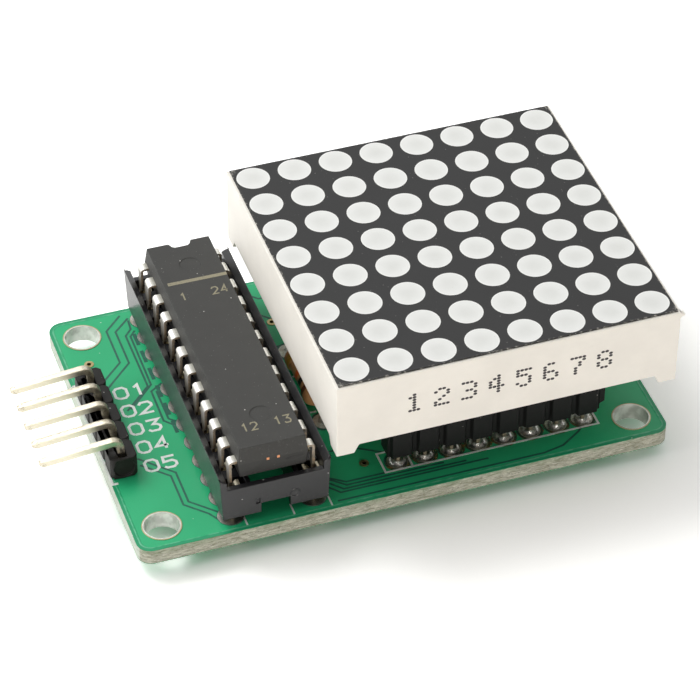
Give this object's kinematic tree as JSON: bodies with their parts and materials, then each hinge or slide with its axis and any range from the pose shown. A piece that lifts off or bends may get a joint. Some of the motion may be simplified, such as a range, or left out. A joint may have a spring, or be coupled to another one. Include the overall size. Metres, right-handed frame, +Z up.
{
  "type": "led dot matrix display module",
  "caption": "Square dot-matrix display block plugged on a small driver board, with a socketed driver chip, a right-angle pin header and plated corner holes.",
  "frame": {"origin": "centre of the four mounting holes, on the underside of the circuit board", "axes": "+X runs along the board from the pin header to the display end, +Y runs to the board's long edge at the chip's notch, and +Z goes up through the display's face"},
  "size_m": [0.0565, 0.032, 0.0171],
  "materials": {
    "board_green": "green solder mask over glass laminate, pale sawn edges",
    "tin_plate": "dull hot-tinned copper",
    "gold_plate": "bare plated copper",
    "header_plastic": "moulded black plastic, slightly dusty",
    "pin_metal": "tin-flashed brass, pale and satin",
    "solder": "bright soft solder",
    "socket_plastic": "glossy moulded black plastic",
    "contact_metal": "tinned spring bronze",
    "chip_plastic": "fine-textured moulding compound",
    "lead_metal": "matt tinned lead frame",
    "plug_plastic": "moulded black plastic with cut end",
    "housing_white": "white moulded plastic, slightly translucent",
    "face_black": "matt black face print",
    "dot_resin": "milky diffusing resin",
    "led_board_green": "thin glass laminate",
    "led_chip": "bare light-emitting crystal",
    "seal_resin": "cast resin with a shrunken surface",
    "resistor_paint": "dipped tan paint with colour bands",
    "disc_coat": "dipped ochre coating",
    "can_aluminium": "drawn aluminium, scored top",
    "can_sleeve": "shrunk dark plastic sleeve",
    "bung_rubber": "black rubber",
    "wire_tin": "tinned copper wire"
  },
  "bodies": {
    "root": {"circuit_board": "board_green", "mounting_hole_plating": "tin_plate", "plated_pads": "tin_plate", "via_plating": "gold_plate", "header_strip": "header_plastic", "header_pins": "pin_metal", "header_solder": "solder", "socket_frame": "socket_plastic", "socket_contacts": "contact_metal", "socket_solder": "solder", "chip_body": "chip_plastic", "chip_leads": "lead_metal", "front_plug_housing": "plug_plastic", "back_plug_housing": "plug_plastic", "front_plug_contacts": "contact_metal", "back_plug_contacts": "contact_metal", "plug_solder": "solder", "display_housing": "housing_white", "display_face": "face_black", "dot_lenses": "dot_resin", "led_board": "led_board_green", "led_chips": "led_chip", "display_seal": "seal_resin", "front_display_pins": "wire_tin", "back_display_pins": "wire_tin", "resistor_body": "resistor_paint", "resistor_leads": "wire_tin", "disc_capacitor_body": "disc_coat", "disc_capacitor_legs": "wire_tin", "can_capacitor_can": "can_aluminium", "can_capacitor_sleeve": "can_sleeve", "can_capacitor_bung": "bung_rubber", "can_capacitor_legs": "wire_tin", "component_solder": "solder"}
  },
  "joints": []
}
